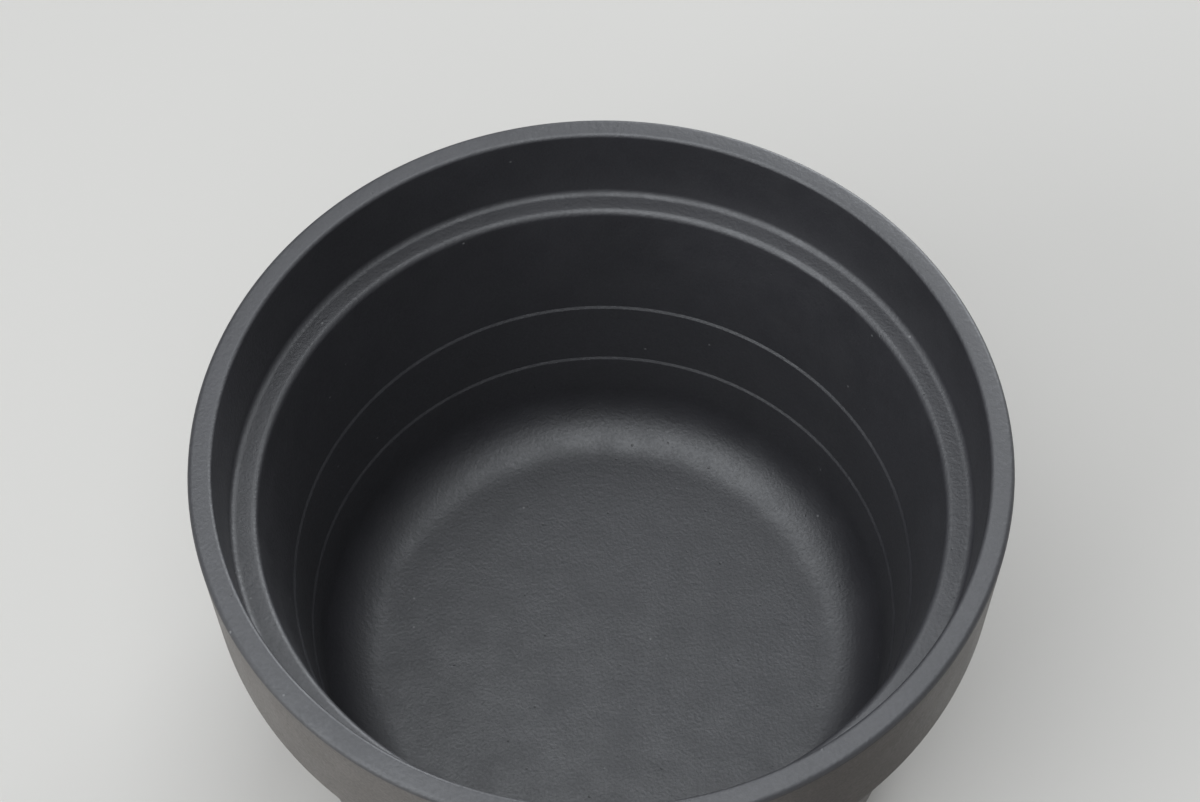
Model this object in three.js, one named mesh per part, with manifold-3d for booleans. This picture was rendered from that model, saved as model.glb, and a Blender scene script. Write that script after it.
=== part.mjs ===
// A round rice pot with its lid taken off and set down beside it.
// Millimetres, +Z up. The origin is the middle of the pot's flat base.
import * as THREE from "three";
import { mergeVertices } from "three/addons/utils/BufferGeometryUtils.js";
import Module from "manifold-3d";

// Pot: heights are measured up from the base, depths down from the rim.
const POT_HEIGHT = 105;
const RIM_RADIUS = 85;
const RIM_OUTER_ROUND = 1.2;
const RIM_INNER_ROUND = 1;
const COLLAR_WALL = 5;
const COLLAR_HEIGHT = 30.5;
const COLLAR_DRAFT = 0.9;
const COLLAR_EDGE_ROUND = 1.5;
const LEDGE_DEPTH = 19.7;
const LEDGE_WIDTH = 5.8;
const LEDGE_ROUND = 1.6;
const UPPER_LINE_DEPTH = 52.3;
const LOWER_LINE_DEPTH = 71.7;
const LINE_STEP = 0.5;
const LINE_RISE = 0.6;
const UPPER_TAPER = 0.112;
const LOWER_TAPER = 0.072;
const FLOOR_THICKNESS = 8;
const FLOOR_ROUND = 15;
const BODY_WALL = 7.5;
const NECK_ROUND = 2.5;
const BASE_ROUND = 5;

// Lid: it drops inside the collar and rests on the ledge.
const LID_CLEARANCE = 1.1;
const LID_EDGE_HEIGHT = 7;
const LID_EDGE_ROUND = 1.5;
const LID_CROWN = 6;
const LID_LAP = 2.7;
const LID_THICKNESS = 6.5;
const BOSS_RADIUS = 15;
const BOSS_HEIGHT = 2;
const BOSS_ROUND = 1;
const STEAM_HOLE_RADIUS = 3;
const STEAM_HOLE_OFFSET = 46;

// Knob and what fixes it: an M5 screw from under the lid, in an insert moulded into the knob.
const KNOB_HEIGHT = 25;
const KNOB_FOOT_RADIUS = 12;
const KNOB_FOOT_HEIGHT = 2;
const KNOB_NECK_RADIUS = 8.5;
const KNOB_NECK_HEIGHT = 6.5;
const KNOB_GRIP_RADIUS = 18;
const KNOB_GRIP_HEIGHT = 14;
const KNOB_CROWN = 1.5;
const KNOB_ROUND = 4;
const INSERT_WALL = 1.6;
const INSERT_LENGTH = 11;
const SCREW_RADIUS = 2.5;
const SCREW_HEAD_RADIUS = 4.75;
const SCREW_HEAD_HEIGHT = 3;
const SCREW_HEAD_ROUND = 1;
const SCREW_GRIP = 9;
const SOCKET_RADIUS = 1.75;
const SOCKET_DEPTH = 1.8;
const WASHER_WIDTH = 4;
const WASHER_THICKNESS = 1.2;

// Clearances, and where the lid lies.
const FIT_GAP = 0.3;
const PAD_MARGIN = 1.5;
const LID_SET_GAP = 18;
const LID_BEARING = THREE.MathUtils.degToRad(-48);

// Fineness of the round surfaces.
const POT_SIDES = 72;
const LID_SIDES = 64;
const KNOB_SIDES = 36;
const SMALL_SIDES = 20;
const CHORD_ERROR = 0.12;
const DOME_STEPS = 5;

const IRON = { color: 0x47484a, roughness: 0.6, metalness: 0 };
const PHENOLIC = { color: 0x1c1c1d, roughness: 0.45, metalness: 0 };
const STEEL = { color: 0xb4b6b8, roughness: 0.35, metalness: 1 };
const BRASS = { color: 0xb08d4a, roughness: 0.4, metalness: 1 };

// An outline in radius and height whose corners [radius, height, round] are turned into arcs
// that touch both neighbouring edges. A round is limited by half of its shorter edge.
function roundedOutline(corners) {
  const spots = corners.map(([radius, height]) => new THREE.Vector2(radius, height));
  const outline = [];
  corners.forEach(([, , round = 0], index) => {
    const spot = spots[index];
    const last = spots[index - 1];
    const next = spots[index + 1];
    if (!round || !last || !next) {
      outline.push(spot);
      return;
    }
    const back = last.clone().sub(spot);
    const ahead = next.clone().sub(spot);
    const halfAngle = back.angleTo(ahead) / 2;
    const room = Math.min(back.length(), ahead.length()) / 2;
    const reach = Math.min(round / Math.tan(halfAngle), room);
    const radius = reach * Math.tan(halfAngle);
    back.normalize();
    ahead.normalize();
    const centre = back.clone().add(ahead).normalize().multiplyScalar(radius / Math.sin(halfAngle)).add(spot);
    const from = back.multiplyScalar(reach).add(spot).sub(centre);
    const to = ahead.multiplyScalar(reach).add(spot).sub(centre);
    const turn = Math.atan2(from.cross(to), from.dot(to));
    const arcStep = 2 * Math.acos(1 - Math.min(CHORD_ERROR / radius, 0.5));
    const steps = Math.max(2, Math.ceil(Math.abs(turn) / arcStep));
    for (let step = 0; step <= steps; step += 1) {
      outline.push(from.clone().rotateAround(new THREE.Vector2(), turn * step / steps).add(centre));
    }
  });
  return outline;
}

// Points of a shallow dome, from its edge to where a flat of the given radius begins.
// The height falls with the square of the radius.
function dome(edgeRadius, edgeHeight, flatRadius, flatHeight) {
  const points = [];
  for (let step = 0; step <= DOME_STEPS; step += 1) {
    const radius = THREE.MathUtils.lerp(edgeRadius, flatRadius, step / DOME_STEPS);
    const share = (edgeRadius ** 2 - radius ** 2) / (edgeRadius ** 2 - flatRadius ** 2);
    points.push([radius, THREE.MathUtils.lerp(edgeHeight, flatHeight, share)]);
  }
  return points;
}

// Turns an outline about Z. It runs anticlockwise as seen with the radius to the right and the height up.
function turned(outline, sides) {
  const geometry = new THREE.LatheGeometry(outline, sides);
  geometry.rotateX(Math.PI / 2);
  return geometry;
}

function piece(name, geometry, finish) {
  const mesh = new THREE.Mesh(geometry, new THREE.MeshStandardMaterial(finish));
  mesh.name = name;
  return mesh;
}

const wasm = await Module();
wasm.setup();

function toSolid(geometry) {
  const bare = geometry.clone();
  bare.deleteAttribute("normal");
  bare.deleteAttribute("uv");
  const merged = mergeVertices(bare, 1e-4);
  return new wasm.Manifold(new wasm.Mesh({
    numProp: 3,
    vertProperties: new Float32Array(merged.attributes.position.array),
    triVerts: new Uint32Array(merged.index.array),
  }));
}

function cut(geometry, tool) {
  const mesh = toSolid(geometry).subtract(toSolid(tool)).getMesh();
  const result = new THREE.BufferGeometry();
  result.setAttribute("position", new THREE.BufferAttribute(new Float32Array(mesh.vertProperties), mesh.numProp));
  result.setIndex(new THREE.BufferAttribute(new Uint32Array(mesh.triVerts), 1));
  result.computeVertexNormals();
  return result;
}

// Pot body
const rimInnerRadius = RIM_RADIUS - COLLAR_WALL;
const seatRadius = rimInnerRadius - COLLAR_DRAFT;
const lipRadius = seatRadius - LEDGE_WIDTH;
const ledgeHeight = POT_HEIGHT - LEDGE_DEPTH;
const collarBottom = POT_HEIGHT - COLLAR_HEIGHT;
const floorDepth = POT_HEIGHT - FLOOR_THICKNESS;
const upperLineRadius = lipRadius - UPPER_TAPER * (UPPER_LINE_DEPTH - LEDGE_DEPTH);
const lowerLineRadius = upperLineRadius - LINE_STEP - LOWER_TAPER * (LOWER_LINE_DEPTH - UPPER_LINE_DEPTH);
const floorRadius = lowerLineRadius - LINE_STEP - LOWER_TAPER * (floorDepth - LOWER_LINE_DEPTH);
const neckRadius = lipRadius - UPPER_TAPER * (COLLAR_HEIGHT - LEDGE_DEPTH) + BODY_WALL;
const outerTaper = (neckRadius - floorRadius - BODY_WALL) / (floorDepth - COLLAR_HEIGHT);
const baseRadius = neckRadius - outerTaper * collarBottom;

function potBody() {
  return turned(roundedOutline([
    [0, 0],
    [baseRadius, 0, BASE_ROUND],
    [neckRadius, collarBottom, NECK_ROUND],
    [RIM_RADIUS, collarBottom, COLLAR_EDGE_ROUND],
    [RIM_RADIUS, POT_HEIGHT, RIM_OUTER_ROUND],
    [rimInnerRadius, POT_HEIGHT, RIM_INNER_ROUND],
    [seatRadius, ledgeHeight, LEDGE_ROUND],
    [lipRadius, ledgeHeight, LEDGE_ROUND],
    [upperLineRadius, POT_HEIGHT - UPPER_LINE_DEPTH],
    [upperLineRadius - LINE_STEP, POT_HEIGHT - UPPER_LINE_DEPTH - LINE_RISE],
    [lowerLineRadius, POT_HEIGHT - LOWER_LINE_DEPTH],
    [lowerLineRadius - LINE_STEP, POT_HEIGHT - LOWER_LINE_DEPTH - LINE_RISE],
    [floorRadius, FLOOR_THICKNESS, FLOOR_ROUND],
    [0, FLOOR_THICKNESS],
  ]), POT_SIDES);
}

// Lid, in a group of its own whose origin is the middle of the lid's underside
const lidRadius = seatRadius - LID_CLEARANCE;
const dishRadius = lipRadius - LID_LAP;
const crownHeight = LID_EDGE_HEIGHT + LID_CROWN;
const bossTop = crownHeight + BOSS_HEIGHT;
const dishHeight = crownHeight - LID_THICKNESS;
const screwHoleRadius = SCREW_RADIUS + FIT_GAP;
const washerRadius = screwHoleRadius + WASHER_WIDTH;
const padRadius = washerRadius + PAD_MARGIN;

function lidCasting() {
  const outline = roundedOutline([
    [screwHoleRadius, dishHeight],
    ...dome(dishRadius, 0, padRadius, dishHeight).reverse(),
    [lidRadius, 0, LID_EDGE_ROUND],
    [lidRadius, LID_EDGE_HEIGHT, LID_EDGE_ROUND],
    ...dome(lidRadius - 2 * LID_EDGE_ROUND, LID_EDGE_HEIGHT, BOSS_RADIUS, crownHeight),
    [BOSS_RADIUS, bossTop, BOSS_ROUND],
    [screwHoleRadius, bossTop],
    [screwHoleRadius, dishHeight],
  ]);
  const steamHole = new THREE.CylinderGeometry(STEAM_HOLE_RADIUS, STEAM_HOLE_RADIUS, 2 * bossTop, SMALL_SIDES);
  steamHole.rotateX(Math.PI / 2);
  steamHole.translate(STEAM_HOLE_OFFSET, 0, bossTop / 2);
  return cut(turned(outline, LID_SIDES), steamHole);
}

// The knob stands on the lid's boss, and its blind hole takes the insert
const insertBore = SCREW_RADIUS + FIT_GAP;
const insertRadius = insertBore + INSERT_WALL;
const insertHoleRadius = insertRadius + FIT_GAP;
const insertHoleDepth = INSERT_LENGTH + 2 * FIT_GAP;

function lidKnob() {
  return turned(roundedOutline([
    [0, insertHoleDepth],
    [insertHoleRadius, insertHoleDepth],
    [insertHoleRadius, 0],
    [KNOB_FOOT_RADIUS, 0],
    [KNOB_FOOT_RADIUS, KNOB_FOOT_HEIGHT],
    [KNOB_NECK_RADIUS, KNOB_NECK_HEIGHT, KNOB_ROUND],
    [KNOB_GRIP_RADIUS, KNOB_GRIP_HEIGHT, KNOB_ROUND],
    [KNOB_GRIP_RADIUS, KNOB_HEIGHT - KNOB_CROWN, KNOB_ROUND],
    [0, KNOB_HEIGHT],
  ]), KNOB_SIDES);
}

function ring(innerRadius, outerRadius, height) {
  return turned(roundedOutline([
    [innerRadius, 0],
    [outerRadius, 0],
    [outerRadius, height],
    [innerRadius, height],
    [innerRadius, 0],
  ]), SMALL_SIDES);
}

// The screw, with the underside of its head at height 0 and a round-bottomed drive socket below
function knobScrew(shankLength) {
  return turned(roundedOutline([
    [0, SOCKET_DEPTH - SCREW_HEAD_HEIGHT],
    [SOCKET_RADIUS, SOCKET_DEPTH - SCREW_HEAD_HEIGHT],
    [SOCKET_RADIUS, -SCREW_HEAD_HEIGHT],
    [SCREW_HEAD_RADIUS, -SCREW_HEAD_HEIGHT, SCREW_HEAD_ROUND],
    [SCREW_HEAD_RADIUS, 0],
    [SCREW_RADIUS, 0],
    [SCREW_RADIUS, shankLength],
    [0, shankLength],
  ]), SMALL_SIDES);
}

const knobFoot = bossTop + FIT_GAP;
const washerBottom = dishHeight - FIT_GAP - WASHER_THICKNESS;
const screwSeat = washerBottom - FIT_GAP;

const lidGroup = new THREE.Group();
const lid = piece("lid", lidCasting(), IRON);
const knob = piece("lid_knob", lidKnob(), PHENOLIC);
knob.position.z = knobFoot;
const insert = piece("knob_insert", ring(insertBore, insertRadius, INSERT_LENGTH), BRASS);
insert.position.z = knobFoot + FIT_GAP;
const washer = piece("knob_washer", ring(screwHoleRadius, washerRadius, WASHER_THICKNESS), STEEL);
washer.position.z = washerBottom;
const screw = piece("knob_screw", knobScrew(knobFoot + SCREW_GRIP - screwSeat), STEEL);
screw.position.z = screwSeat;
lidGroup.add(lid, knob, insert, washer, screw);

const lidDistance = RIM_RADIUS + LID_SET_GAP + lidRadius;
lidGroup.position.set(lidDistance * Math.cos(LID_BEARING), lidDistance * Math.sin(LID_BEARING), 0);

const ricePot = new THREE.Group();
ricePot.add(piece("pot_body", potBody(), IRON), lidGroup);

export default ricePot;
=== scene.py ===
import math

import bpy
import numpy as np
from mathutils import Matrix, Vector


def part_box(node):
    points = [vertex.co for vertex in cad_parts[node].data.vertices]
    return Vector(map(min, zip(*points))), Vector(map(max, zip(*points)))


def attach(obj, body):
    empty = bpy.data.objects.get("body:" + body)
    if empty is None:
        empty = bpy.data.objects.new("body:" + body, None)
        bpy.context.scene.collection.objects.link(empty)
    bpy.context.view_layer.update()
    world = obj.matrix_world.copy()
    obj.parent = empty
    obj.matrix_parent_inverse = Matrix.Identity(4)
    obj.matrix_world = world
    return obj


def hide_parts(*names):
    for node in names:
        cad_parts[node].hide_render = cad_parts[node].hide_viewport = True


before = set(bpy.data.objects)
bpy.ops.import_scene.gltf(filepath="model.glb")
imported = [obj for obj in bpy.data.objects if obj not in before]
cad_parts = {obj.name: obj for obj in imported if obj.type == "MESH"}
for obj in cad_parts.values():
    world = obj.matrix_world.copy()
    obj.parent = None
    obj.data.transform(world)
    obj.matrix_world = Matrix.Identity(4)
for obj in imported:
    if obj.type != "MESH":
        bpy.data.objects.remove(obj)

scene = bpy.context.scene
scene.view_settings.view_transform = "Standard"
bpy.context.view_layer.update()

# Camera
# It looks down into the open pot from the front, from half a metre above the table,
# through a short telephoto lens, so that the near side of the pot runs out of the frame.
FRAME_WIDTH_PX = 1200
FOCAL_LENGTH_PX = 2250
SENSOR_WIDTH_MM = 36
LOOK_DOWN = math.radians(57.75)
CAMERA_ROLL = -0.0151
EYE_BACK = 0.2406
EYE_ABOVE_RIM = 0.3962

pot_low, pot_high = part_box("pot_body")
camera_data = bpy.data.cameras.new("photo_camera")
camera_data.sensor_width = SENSOR_WIDTH_MM
camera_data.lens = SENSOR_WIDTH_MM * FOCAL_LENGTH_PX / FRAME_WIDTH_PX
camera = bpy.data.objects.new("photo_camera", camera_data)
scene.collection.objects.link(camera)
eye = Matrix.Translation((0, -EYE_BACK, pot_high.z + EYE_ABOVE_RIM))
tilt = Matrix.Rotation(math.pi / 2 - LOOK_DOWN, 4, "X")
camera.matrix_world = eye @ tilt @ Matrix.Rotation(CAMERA_ROLL, 4, "Z")
scene.camera = camera

# Table top and light
# A plain pale table in a dim room, under a wide soft light that hangs a little to the pot's left.
# Windows light it from behind on the right, from the front on the left and, weakly, from high in front.
TABLE_SIZE = 6.0
TABLE_COLOUR = (0.615, 0.593, 0.560, 1)
TABLE_ROUGHNESS = 0.8
ROOM_COLOUR = (0.92, 0.96, 1.0, 1)
ROOM_STRENGTH = 0.26
LIGHT_COLOUR = (0.925, 0.962, 1.0)
OVERHEAD_PLACE = (-0.18, -0.02, 1.08)
OVERHEAD_SIZE = 1.0
OVERHEAD_POWER = 6.75
WINDOW_SIZE = 1.0
BACK_WINDOW_PLACE = (0.62, 1.27, 0.62)
BACK_WINDOW_POWER = 15.0
SIDE_WINDOW_PLACE = (-1.10, -0.77, 0.80)
SIDE_WINDOW_POWER = 9.4
FRONT_WINDOW_PLACE = (0.05, -1.0, 1.35)
FRONT_WINDOW_POWER = 3.5


def new_material(name):
    """A material with its node tree and its Principled shader."""
    material = bpy.data.materials.new(name)
    material.use_nodes = True
    return material, material.node_tree, material.node_tree.nodes["Principled BSDF"]


def soft_light(name, place, size, power):
    """A square area light at a place, turned to face the middle of the pot's mouth."""
    data = bpy.data.lights.new(name, "AREA")
    data.shape = "SQUARE"
    data.size = size
    data.energy = power
    data.color = LIGHT_COLOUR
    light = bpy.data.objects.new(name, data)
    scene.collection.objects.link(light)
    aim = Vector((0, 0, pot_high.z)) - Vector(place)
    light.location = place
    light.rotation_euler = aim.to_track_quat("-Z", "Y").to_euler()
    light.visible_camera = False


bpy.ops.mesh.primitive_plane_add(size=TABLE_SIZE, location=(0, 0, pot_low.z))
table = bpy.context.object
table.name = "table_top"
table_paint, _, table_surface = new_material("pale_table")
table_surface.inputs["Base Color"].default_value = TABLE_COLOUR
table_surface.inputs["Roughness"].default_value = TABLE_ROUGHNESS
table.data.materials.append(table_paint)
soft_light("overhead_light", OVERHEAD_PLACE, OVERHEAD_SIZE, OVERHEAD_POWER)
soft_light("back_window", BACK_WINDOW_PLACE, WINDOW_SIZE, BACK_WINDOW_POWER)
soft_light("side_window", SIDE_WINDOW_PLACE, WINDOW_SIZE, SIDE_WINDOW_POWER)
soft_light("front_window", FRONT_WINDOW_PLACE, WINDOW_SIZE, FRONT_WINDOW_POWER)
room = bpy.data.worlds.new("room")
room.use_nodes = True
room.node_tree.nodes["Background"].inputs["Color"].default_value = ROOM_COLOUR
room.node_tree.nodes["Background"].inputs["Strength"].default_value = ROOM_STRENGTH
scene.world = room

# Pot body
# One thick casting with a charcoal coat: an upright collar over a narrower tapering body, a
# recessed ledge for the lid, two stepped fill lines in the wall and a wide round floor corner.
RIM_OUTER_ROUND = 0.0012
RIM_INNER_ROUND = 0.0010
COLLAR_WALL = 0.0050
COLLAR_HEIGHT = 0.0305
COLLAR_DRAFT = 0.0009
COLLAR_EDGE_ROUND = 0.0015
LEDGE_DEPTH = 0.0197
LEDGE_WIDTH = 0.0058
LEDGE_ROUND = 0.0016
UPPER_LINE_DEPTH = 0.0523
LOWER_LINE_DEPTH = 0.0717
LINE_STEP = 0.0005
LINE_RISE = 0.0006
LINE_ROUND = 0.00025
UPPER_TAPER = 0.112
LOWER_TAPER = 0.072
FLOOR_THICKNESS = 0.0080
FLOOR_ROUND = 0.015
BODY_WALL = 0.0075
NECK_ROUND = 0.0025
BASE_ROUND = 0.005
POT_SIDES = 256
ARC_STEP = math.radians(9)
RUN_STEP = 0.0017
SHARP_ANGLE = math.radians(40)
# The outer tone is warmer and lighter than the inner one. Its extra lightness is painted light, which
# makes the outside look lit and the inside shaded.
INSIDE_SHADED_COLOUR = (0.0178, 0.0172, 0.0212, 1)
OUTSIDE_LIT_COLOUR = (0.076, 0.064, 0.055, 1)
COAT_GRAIN = 1500
COAT_ROUGHNESS = (0.47, 0.57)
COAT_IOR = 2.0
COAT_BUMP = 0.32
COAT_RELIEF = 0.00022
SPECK_COLOUR = (0.30, 0.30, 0.30, 1)
SPECK_SHARE = 0.5
NOISE_SPAN = (0.3, 0.7)
PEBBLE_SHARE = 0.55
PEBBLE_DEPTH = 0.6
TONE_SCALE = 38
TONE_SPREAD = (0.86, 1.14)
GLOSS_SCALE = 120
DOT_SCALE = 260
DOT_EDGE = (0.10, 0.04)
SPECK_LEVEL = 0.9
PIT_LEVEL = 0.7
PIT_DEPTH = 1.2
# Painted shade: the coat is coloured darker in its pits and where its fine grain is low.
PIT_SHADE = 0.5
SHADE_SPREAD = (0.84, 1.16)
SHADE_DULLING = 1.2


def rounded_outline(corners, run_step=RUN_STEP):
    """Corners (radius, height, round) joined by straight runs, as an array of points.

    A round replaces its corner by the arc that touches both runs: it starts round / tan(half the
    corner's angle) along each run, at most half of the shorter one, about a centre on the bisector.
    The runs are then cut into equal steps no longer than run_step.
    """
    spots = np.array([corner[:2] for corner in corners], float)
    stretches = []
    for index, (spot, corner) in enumerate(zip(spots, corners)):
        if len(corner) < 3:
            stretches.append(spot[None])
            continue
        back, ahead = spots[index - 1] - spot, spots[index + 1] - spot
        lengths = np.linalg.norm(back), np.linalg.norm(ahead)
        back, ahead = back / lengths[0], ahead / lengths[1]
        half = math.acos(back @ ahead) / 2
        reach = min(corner[2] / math.tan(half), min(lengths) / 2)
        radius = reach * math.tan(half)
        middle = (back + ahead) / np.linalg.norm(back + ahead)
        centre = spot + middle * radius / math.sin(half)
        first, last = spot + back * reach - centre, spot + ahead * reach - centre
        turn = math.atan2(first[0] * last[1] - first[1] * last[0], first @ last)
        steps = np.linspace(0, turn, math.ceil(abs(turn) / ARC_STEP) + 1)
        angle = math.atan2(first[1], first[0]) + steps
        stretches.append(centre + radius * np.stack([np.cos(angle), np.sin(angle)], 1))
    points = np.concatenate(stretches)
    run = np.linalg.norm(np.diff(points, axis=0), axis=1)
    along = np.concatenate([[0], np.cumsum(run)])
    cuts = [np.linspace(start, start + length, math.ceil(length / run_step), endpoint=False)
            for start, length in zip(along, run)]
    places = np.append(np.concatenate(cuts), along[-1])
    return np.stack([np.interp(places, along, points[:, axis]) for axis in (0, 1)], 1)


def turned_piece(name, outline, sides, centre=(0, 0, 0), swell=1):
    """An outline of (radius, height) points carried round the vertical axis through centre.

    Point (i, j) is (radius_i cos a_j, radius_i sin a_j, height_i) with a_j = 2 pi j / sides, and swell
    scales its radius. The outline runs anticlockwise, so faces point outwards. It starts and ends on
    the axis, where single points close the surface, or ends where it starts and makes a ring.
    """
    ring = np.allclose(outline[0], outline[-1])
    rows = outline[:-1] if ring else outline[1:-1]
    angle = np.arange(sides) * 2 * math.pi / sides
    radius = rows[:, :1] * np.ones(sides) * swell
    height = np.repeat(rows[:, 1:], sides, 1)
    points = np.stack([radius * np.cos(angle), radius * np.sin(angle), height], 2).reshape(-1, 3)
    index = np.arange(len(points)).reshape(len(rows), sides)
    if ring:
        index = np.concatenate([index, index[:1]])
    following = np.roll(index, -1, axis=1)
    faces = np.stack([index[:-1], following[:-1], following[1:], index[1:]], 2).reshape(-1, 4).tolist()
    if not ring:
        first, last = np.full(sides, len(points)), np.full(sides, len(points) + 1)
        faces += np.stack([first, following[0], index[0]], 1).tolist()
        faces += np.stack([index[-1], following[-1], last], 1).tolist()
        points = np.concatenate([points, [(0, 0, outline[0, 1]), (0, 0, outline[-1, 1])]])
    mesh = bpy.data.meshes.new(name)
    mesh.from_pydata((points + np.array(centre)).tolist(), [], faces)
    mesh.shade_smooth()
    mesh.set_sharp_from_angle(angle=SHARP_ANGLE)
    piece = bpy.data.objects.new(name, mesh)
    scene.collection.objects.link(piece)
    return piece


def mark_outside(piece, outside):
    """Stores how much of the outer tone each point of a piece has, from 0 to 1. That tone is lighter as
    painted light.
    """
    layer = piece.data.attributes.new("outside", "FLOAT", "POINT")
    layer.data.foreach_set("value", np.asarray(outside, np.float32))


def add_node(tree, kind, inputs, **settings):
    """A new node with each named input linked, where it is given a socket, or else set to its value."""
    node = tree.nodes.new(kind)
    for label, value in settings.items():
        setattr(node, label, value)
    for label, value in inputs.items():
        if isinstance(value, bpy.types.NodeSocket):
            tree.links.new(value, node.inputs[label])
        else:
            node.inputs[label].default_value = value
    return node


def calculate(tree, operation, *values):
    """The result of a Math node on sockets or numbers."""
    return add_node(tree, "ShaderNodeMath", dict(enumerate(values)), operation=operation).outputs[0]


def spread(tree, noise, limits):
    """A noise whose usual span is stretched to the given limits."""
    stretched = add_node(tree, "ShaderNodeMapRange", {
        "Value": noise, "From Min": NOISE_SPAN[0], "From Max": NOISE_SPAN[1],
        "To Min": limits[0], "To Max": limits[1]})
    return stretched.outputs["Result"]


def blend(tree, share, first, second):
    """The colour at a share of the way from the first to the second.

    A Mix node for colours takes its share at input 0 and the colours at 6 and 7, and gives output 2.
    """
    return add_node(tree, "ShaderNodeMix", {0: share, 6: first, 7: second}, data_type="RGBA").outputs[2]


def grain_group():
    """A shader group for the skin of a coated or moulded surface, with Grain in cells per metre.

    Height is fine noise less soft pebbles of about twice its size, with a pit in the middle of some
    cells of a coarse pattern. Shade is painted shade: 1 give or take a little with the fine noise, darker
    where the fine noise, and with it the relief, is low, and less in a pit.
    Tone is broad mottling. Dullness is noise of a middling size, and rises where Shade falls. Specks is
    1 in the middle of the few coarse cells that hold a pale grain.
    """
    group = bpy.data.node_groups.new("surface_grain", "ShaderNodeTree")
    group.interface.new_socket("Vector", in_out="INPUT", socket_type="NodeSocketVector")
    group.interface.new_socket("Grain", in_out="INPUT", socket_type="NodeSocketFloat")
    for output in ("Height", "Shade", "Tone", "Dullness", "Specks"):
        group.interface.new_socket(output, in_out="OUTPUT", socket_type="NodeSocketFloat")
    given = group.nodes.new("NodeGroupInput")
    place, grain = given.outputs["Vector"], given.outputs["Grain"]
    pebble_scale = calculate(group, "MULTIPLY", grain, PEBBLE_SHARE)
    pebbles = add_node(group, "ShaderNodeTexVoronoi", {"Vector": place, "Scale": pebble_scale},
                       feature="SMOOTH_F1").outputs["Distance"]
    grit = add_node(group, "ShaderNodeTexNoise",
                    {"Vector": place, "Scale": grain, "Detail": 2}).outputs["Fac"]
    tone = add_node(group, "ShaderNodeTexNoise", {"Vector": place, "Scale": TONE_SCALE, "Detail": 4})
    gloss = add_node(group, "ShaderNodeTexNoise", {"Vector": place, "Scale": GLOSS_SCALE, "Detail": 3})
    cells = add_node(group, "ShaderNodeTexVoronoi", {"Vector": place, "Scale": DOT_SCALE})
    dots = add_node(group, "ShaderNodeMapRange", {
        "Value": cells.outputs["Distance"],
        "From Min": DOT_EDGE[0], "From Max": DOT_EDGE[1]}).outputs["Result"]
    lot = add_node(group, "ShaderNodeSeparateColor", {"Color": cells.outputs["Color"]})
    specks = calculate(group, "MULTIPLY", dots,
                       calculate(group, "GREATER_THAN", lot.outputs["Red"], SPECK_LEVEL))
    pits = calculate(group, "MULTIPLY", dots,
                     calculate(group, "GREATER_THAN", lot.outputs["Green"], PIT_LEVEL))
    bumps = calculate(group, "MULTIPLY_ADD", pebbles, -PEBBLE_DEPTH, grit)
    height = calculate(group, "MULTIPLY_ADD", pits, -PIT_DEPTH, bumps)
    tone_and_shade = calculate(group, "MULTIPLY_ADD", pits, -PIT_SHADE, spread(group, grit, SHADE_SPREAD))
    dullness = calculate(group, "MULTIPLY_ADD", calculate(group, "SUBTRACT", 1.0, tone_and_shade), SHADE_DULLING,
                         gloss.outputs["Fac"])
    add_node(group, "NodeGroupOutput", {"Height": height, "Shade": tone_and_shade, "Tone": tone.outputs["Fac"],
                                        "Dullness": dullness, "Specks": specks})
    return group


GRAIN = grain_group()


def grained_material(name, grain_scale, roughness, bump, relief):
    """A material with the grain as its relief and its spread of roughness, and the grain's node."""
    material, tree, surface = new_material(name)
    place = add_node(tree, "ShaderNodeTexCoord", {})
    grain = add_node(tree, "ShaderNodeGroup", {}, node_tree=GRAIN)
    grain.inputs["Grain"].default_value = grain_scale
    tree.links.new(place.outputs["Object"], grain.inputs["Vector"])
    tree.links.new(spread(tree, grain.outputs["Dullness"], roughness), surface.inputs["Roughness"])
    normal = add_node(tree, "ShaderNodeBump", {"Strength": bump, "Distance": relief,
                                               "Height": grain.outputs["Height"]})
    tree.links.new(normal.outputs["Normal"], surface.inputs["Normal"])
    return material, tree, surface, grain


def coated_iron():
    """The charcoal coat: two tones picked by the points' outside value, the outer one warmer and, as
    painted light, lighter than the shaded inner one. It is mottled, with painted shade in the grain's low
    places and pits, and has pale specks.
    """
    material, tree, surface, grain = grained_material("charcoal_coat", COAT_GRAIN, COAT_ROUGHNESS,
                                                      COAT_BUMP, COAT_RELIEF)
    surface.inputs["IOR"].default_value = COAT_IOR
    side = add_node(tree, "ShaderNodeAttribute", {}, attribute_name="outside")
    colour = blend(tree, side.outputs["Fac"], INSIDE_SHADED_COLOUR, OUTSIDE_LIT_COLOUR)
    # Mottling and painted shade: the broad tone times the grain's Shade, which darkens the grain's low
    # places and its pits.
    tone_and_shade = calculate(tree, "MULTIPLY", spread(tree, grain.outputs["Tone"], TONE_SPREAD),
                      grain.outputs["Shade"])
    mottled_and_shaded = add_node(tree, "ShaderNodeVectorMath", {0: colour, "Scale": tone_and_shade}, operation="SCALE")
    speck_share = calculate(tree, "MULTIPLY", grain.outputs["Specks"], SPECK_SHARE)
    specked = blend(tree, speck_share, mottled_and_shaded.outputs["Vector"], SPECK_COLOUR)
    tree.links.new(specked, surface.inputs["Base Color"])
    return material


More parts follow.
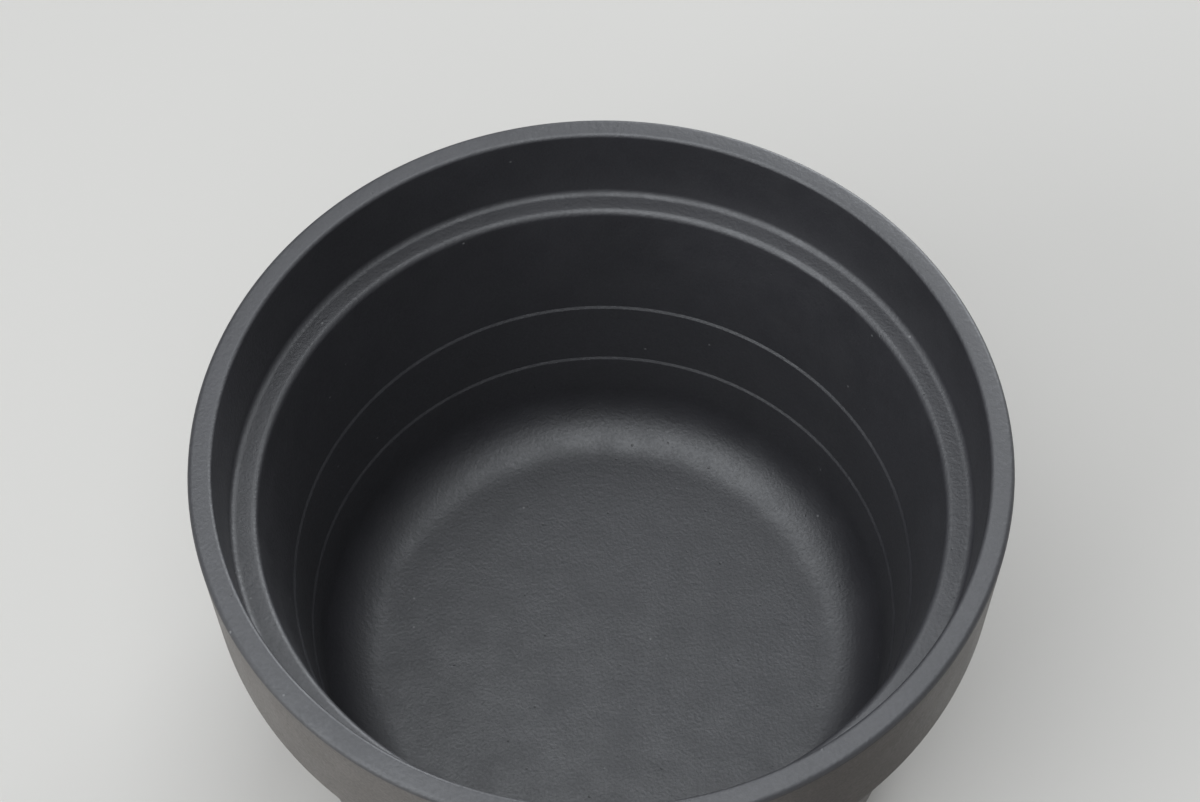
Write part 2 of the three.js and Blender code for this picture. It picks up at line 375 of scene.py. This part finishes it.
rim_height = pot_high.z
rim_radius = pot_high.x
rim_inner_radius = rim_radius - COLLAR_WALL
seat_radius = rim_inner_radius - COLLAR_DRAFT
lip_radius = seat_radius - LEDGE_WIDTH
ledge_height = rim_height - LEDGE_DEPTH
collar_bottom = rim_height - COLLAR_HEIGHT
floor_depth = rim_height - FLOOR_THICKNESS
upper_line_radius = lip_radius - UPPER_TAPER * (UPPER_LINE_DEPTH - LEDGE_DEPTH)
lower_line_radius = upper_line_radius - LINE_STEP - LOWER_TAPER * (LOWER_LINE_DEPTH - UPPER_LINE_DEPTH)
floor_radius = lower_line_radius - LINE_STEP - LOWER_TAPER * (floor_depth - LOWER_LINE_DEPTH)
neck_radius = lip_radius - UPPER_TAPER * (COLLAR_HEIGHT - LEDGE_DEPTH) + BODY_WALL
outer_taper = (neck_radius - floor_radius - BODY_WALL) / (floor_depth - COLLAR_HEIGHT)
base_radius = neck_radius - outer_taper * collar_bottom
pot_outline = rounded_outline([
    (0, 0),
    (base_radius, 0, BASE_ROUND),
    (neck_radius, collar_bottom, NECK_ROUND),
    (rim_radius, collar_bottom, COLLAR_EDGE_ROUND),
    (rim_radius, rim_height, RIM_OUTER_ROUND),
    (rim_inner_radius, rim_height, RIM_INNER_ROUND),
    (seat_radius, ledge_height, LEDGE_ROUND),
    (lip_radius, ledge_height, LEDGE_ROUND),
    (upper_line_radius, rim_height - UPPER_LINE_DEPTH, LINE_ROUND),
    (upper_line_radius - LINE_STEP, rim_height - UPPER_LINE_DEPTH - LINE_RISE, LINE_ROUND),
    (lower_line_radius, rim_height - LOWER_LINE_DEPTH, LINE_ROUND),
    (lower_line_radius - LINE_STEP, rim_height - LOWER_LINE_DEPTH - LINE_RISE, LINE_ROUND),
    (floor_radius, FLOOR_THICKNESS, FLOOR_ROUND),
    (0, FLOOR_THICKNESS),
])
pot = turned_piece("pot_casting", pot_outline, POT_SIDES)
# The outside below the rim's outer round takes the outer tone, with its painted light; the rim's top and
# the inside keep the darker inner tone.
rim_row = int(np.argmax(pot_outline[:, 1] > rim_height - RIM_OUTER_ROUND))
pot_outside = np.arange(1, len(pot_outline) - 1) < rim_row
mark_outside(pot, np.append(np.repeat(pot_outside, POT_SIDES), [1, 0]))
iron_coat = coated_iron()
pot.data.materials.append(iron_coat)
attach(pot, "pot")
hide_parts("pot_body")

# Lid
# A domed casting in the same coated iron, turned true at its thick edge so that it drops inside the
# collar onto the ledge. A low boss carries the knob, and one steam hole is drilled through.
LID_EDGE_HEIGHT = 0.0070
LID_EDGE_ROUND = 0.0015
LID_CROWN = 0.0060
LID_LAP = 0.0027
LID_THICKNESS = 0.0065
BOSS_RADIUS = 0.0150
BOSS_HEIGHT = 0.0020
BOSS_ROUND = 0.0010
HOLE_EDGE_ROUND = 0.0004
SCREW_HOLE_RADIUS = 0.0028
PAD_RADIUS = 0.0083
STEAM_HOLE_RADIUS = 0.0030
STEAM_HOLE_OFFSET = 0.0460
STEAM_HOLE_SIDES = 48
LID_SIDES = 224
LID_TOP_LIT_SHARE = 0.4
DOME_STEPS = 24


def dome(edge, flat):
    """Points of a shallow dome from its edge (radius, height) to a flat.

    Between the two, the height falls with the square of the radius.
    """
    radius = np.linspace(edge[0], flat[0], DOME_STEPS)
    share = (edge[0] ** 2 - radius ** 2) / (edge[0] ** 2 - flat[0] ** 2)
    return list(zip(radius, edge[1] + share * (flat[1] - edge[1])))


lid_low, lid_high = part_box("lid")
lid_middle = (lid_low + lid_high) / 2
lid_centre = (lid_middle.x, lid_middle.y, lid_low.z)
lid_radius = (lid_high.x - lid_low.x) / 2
dish_radius = lip_radius - LID_LAP
crown_height = LID_EDGE_HEIGHT + LID_CROWN
boss_top = crown_height + BOSS_HEIGHT
dish_height = crown_height - LID_THICKNESS
lid_outline = rounded_outline([
    (SCREW_HOLE_RADIUS, crown_height),
    (SCREW_HOLE_RADIUS, dish_height, HOLE_EDGE_ROUND),
    *dome((dish_radius, 0), (PAD_RADIUS, dish_height))[::-1],
    (lid_radius, 0, LID_EDGE_ROUND),
    (lid_radius, LID_EDGE_HEIGHT, LID_EDGE_ROUND),
    *dome((lid_radius - 2 * LID_EDGE_ROUND, LID_EDGE_HEIGHT), (BOSS_RADIUS, crown_height)),
    (BOSS_RADIUS, boss_top, BOSS_ROUND),
    (SCREW_HOLE_RADIUS, boss_top, HOLE_EDGE_ROUND),
    (SCREW_HOLE_RADIUS, crown_height),
])
lid = turned_piece("lid_casting", lid_outline, LID_SIDES, lid_centre)
lid_rows = np.arange(len(lid_outline) - 1)
edge_row = int(np.argmax(lid_outline[:, 0] > lid_radius - LID_EDGE_ROUND))
# The lid's outer edge and top take part of the outer tone, and so part of its painted light; the underside
# keeps the darker inner tone.
mark_outside(lid, np.repeat(lid_rows > edge_row, LID_SIDES) * LID_TOP_LIT_SHARE)
lid.data.materials.append(iron_coat)
hole_place = Vector(lid_centre) + Vector((STEAM_HOLE_OFFSET, 0, boss_top / 2))
bpy.ops.mesh.primitive_cylinder_add(vertices=STEAM_HOLE_SIDES, radius=STEAM_HOLE_RADIUS,
                                    depth=2 * boss_top, location=hole_place)
drill = bpy.context.object
drill.data.shade_smooth()
drilling = lid.modifiers.new("steam_hole", "BOOLEAN")
drilling.operation = "DIFFERENCE"
drilling.object = drill
bpy.context.view_layer.objects.active = lid
bpy.ops.object.modifier_apply(modifier=drilling.name)
bpy.data.objects.remove(drill)
lid.data.set_sharp_from_angle(angle=SHARP_ANGLE)
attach(lid, "lid")
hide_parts("lid")

# Lid knob
# A heat-proof black moulding with a waisted neck and a round grip for the fingers.
# It stands on the lid's boss and has a blind hole in its foot for the brass insert.
KNOB_FOOT_RADIUS = 0.0120
KNOB_FOOT_HEIGHT = 0.0020
KNOB_NECK_RADIUS = 0.0085
KNOB_NECK_HEIGHT = 0.0065
KNOB_GRIP_HEIGHT = 0.0140
KNOB_CROWN = 0.0015
KNOB_ROUND = 0.0040
KNOB_EDGE_ROUND = 0.0005
INSERT_HOLE_RADIUS = 0.0047
INSERT_HOLE_DEPTH = 0.0116
KNOB_SIDES = 128
KNOB_STEP = 0.0008
KNOB_COLOUR = (0.020, 0.020, 0.021, 1)
KNOB_GRAIN = 1600
KNOB_ROUGHNESS = (0.36, 0.46)
KNOB_BUMP = 0.12
KNOB_RELIEF = 0.00015

knob_low, knob_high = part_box("lid_knob")
knob_foot = (lid_middle.x, lid_middle.y, knob_low.z)
knob_height = knob_high.z - knob_low.z
grip_radius = (knob_high.x - knob_low.x) / 2
shoulder_height = knob_height - KNOB_CROWN
knob = turned_piece("knob_moulding", rounded_outline([
    (0, INSERT_HOLE_DEPTH),
    (INSERT_HOLE_RADIUS, INSERT_HOLE_DEPTH, HOLE_EDGE_ROUND),
    (INSERT_HOLE_RADIUS, 0, HOLE_EDGE_ROUND),
    (KNOB_FOOT_RADIUS, 0, KNOB_EDGE_ROUND),
    (KNOB_FOOT_RADIUS, KNOB_FOOT_HEIGHT, KNOB_EDGE_ROUND),
    (KNOB_NECK_RADIUS, KNOB_NECK_HEIGHT, KNOB_ROUND),
    (grip_radius, KNOB_GRIP_HEIGHT, KNOB_ROUND),
    (grip_radius, shoulder_height, KNOB_ROUND),
    *dome((grip_radius - KNOB_ROUND, shoulder_height + KNOB_CROWN / 2), (0, knob_height)),
], KNOB_STEP), KNOB_SIDES, knob_foot)
moulding, _, moulding_surface, _ = grained_material("black_moulding", KNOB_GRAIN, KNOB_ROUGHNESS,
                                                    KNOB_BUMP, KNOB_RELIEF)
moulding_surface.inputs["Base Color"].default_value = KNOB_COLOUR
knob.data.materials.append(moulding)
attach(knob, "lid")
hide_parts("lid_knob")

# Knob insert
# A turned brass bush held in the knob, with the thread for the screw.
# It is hidden once the knob is on the lid.
SMALL_SIDES = 72
SMALL_STEP = 0.0006
SMALL_EDGE_ROUND = 0.0003
INSERT_BORE = 0.0028
BRASS_COLOUR = (0.60, 0.42, 0.17, 1)
BRASS_ROUGHNESS = 0.34
TURNING_LINES = 2600
TURNING_WAVER = 0.4
TURNING_BUMP = 0.15
TURNING_RELIEF = 0.00005


def small_ring(name, inner_radius, box):
    """A flat-ended ring that fills a box about the lid's axis, with all its edges broken."""
    low, high = box
    outer_radius = (high.x - low.x) / 2
    length = high.z - low.z
    outline = rounded_outline([
        (inner_radius, length / 2),
        (inner_radius, 0, SMALL_EDGE_ROUND),
        (outer_radius, 0, SMALL_EDGE_ROUND),
        (outer_radius, length, SMALL_EDGE_ROUND),
        (inner_radius, length, SMALL_EDGE_ROUND),
        (inner_radius, length / 2),
    ], SMALL_STEP)
    return turned_piece(name, outline, SMALL_SIDES, (lid_middle.x, lid_middle.y, low.z))


def turned_metal(name, colour, roughness):
    """Bare metal with fine turning lines: waves that rise with the height along the piece."""
    material, tree, surface = new_material(name)
    surface.inputs["Base Color"].default_value = colour
    surface.inputs["Metallic"].default_value = 1
    surface.inputs["Roughness"].default_value = roughness
    place = add_node(tree, "ShaderNodeTexCoord", {})
    lines = add_node(tree, "ShaderNodeTexWave", {"Vector": place.outputs["Object"], "Scale": TURNING_LINES,
                                                 "Distortion": TURNING_WAVER}, bands_direction="Z")
    normal = add_node(tree, "ShaderNodeBump", {"Strength": TURNING_BUMP, "Distance": TURNING_RELIEF,
                                               "Height": lines.outputs["Fac"]})
    tree.links.new(normal.outputs["Normal"], surface.inputs["Normal"])
    return material


insert = small_ring("brass_insert", INSERT_BORE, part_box("knob_insert"))
insert.data.materials.append(turned_metal("turned_brass", BRASS_COLOUR, BRASS_ROUGHNESS))
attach(insert, "lid")
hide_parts("knob_insert")

# Knob washer
# A plain stamped stainless washer under the lid, which spreads the screw's pull on the casting.
# It lies loose round the screw until the knob is tightened.
STEEL_COLOUR = (0.60, 0.61, 0.62, 1)
STEEL_ROUGHNESS = 0.30

washer = small_ring("plain_washer", SCREW_HOLE_RADIUS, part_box("knob_washer"))
steel = turned_metal("bright_steel", STEEL_COLOUR, STEEL_ROUGHNESS)
washer.data.materials.append(steel)
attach(washer, "lid")
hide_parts("knob_washer")

# Knob screw
# A stainless button-head screw put in from under the lid, up into the brass insert.
# Its head is pressed with a six-sided socket for a key.
SCREW_RADIUS = 0.0025
SCREW_HEAD_HEIGHT = 0.0030
SCREW_HEAD_ROUND = 0.0010
SOCKET_RADIUS = 0.00175
SOCKET_DEPTH = 0.0018
SOCKET_FACES = 6

screw_low, screw_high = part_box("knob_screw")
head_radius = (screw_high.x - screw_low.x) / 2
screw_length = screw_high.z - screw_low.z
screw_outline = rounded_outline([
    (0, SOCKET_DEPTH),
    (SOCKET_RADIUS, SOCKET_DEPTH),
    (SOCKET_RADIUS, 0),
    (head_radius, 0, SCREW_HEAD_ROUND),
    (head_radius, SCREW_HEAD_HEIGHT, SMALL_EDGE_ROUND),
    (SCREW_RADIUS, SCREW_HEAD_HEIGHT, SMALL_EDGE_ROUND),
    (SCREW_RADIUS, screw_length, SMALL_EDGE_ROUND),
    (0, screw_length),
], SMALL_STEP)
face_angle = 2 * math.pi / SOCKET_FACES
from_face = np.arange(SMALL_SIDES) * 2 * math.pi / SMALL_SIDES % face_angle - face_angle / 2
six_sided = math.cos(face_angle / 2) / np.cos(from_face)
in_socket = (screw_outline[1:-1, 0] <= SOCKET_RADIUS) & (screw_outline[1:-1, 1] <= SOCKET_DEPTH)
screw = turned_piece("button_head_screw", screw_outline, SMALL_SIDES,
                     (lid_middle.x, lid_middle.y, screw_low.z), np.where(in_socket[:, None], six_sided, 1))
screw.data.materials.append(steel)
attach(screw, "lid")
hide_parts("knob_screw")
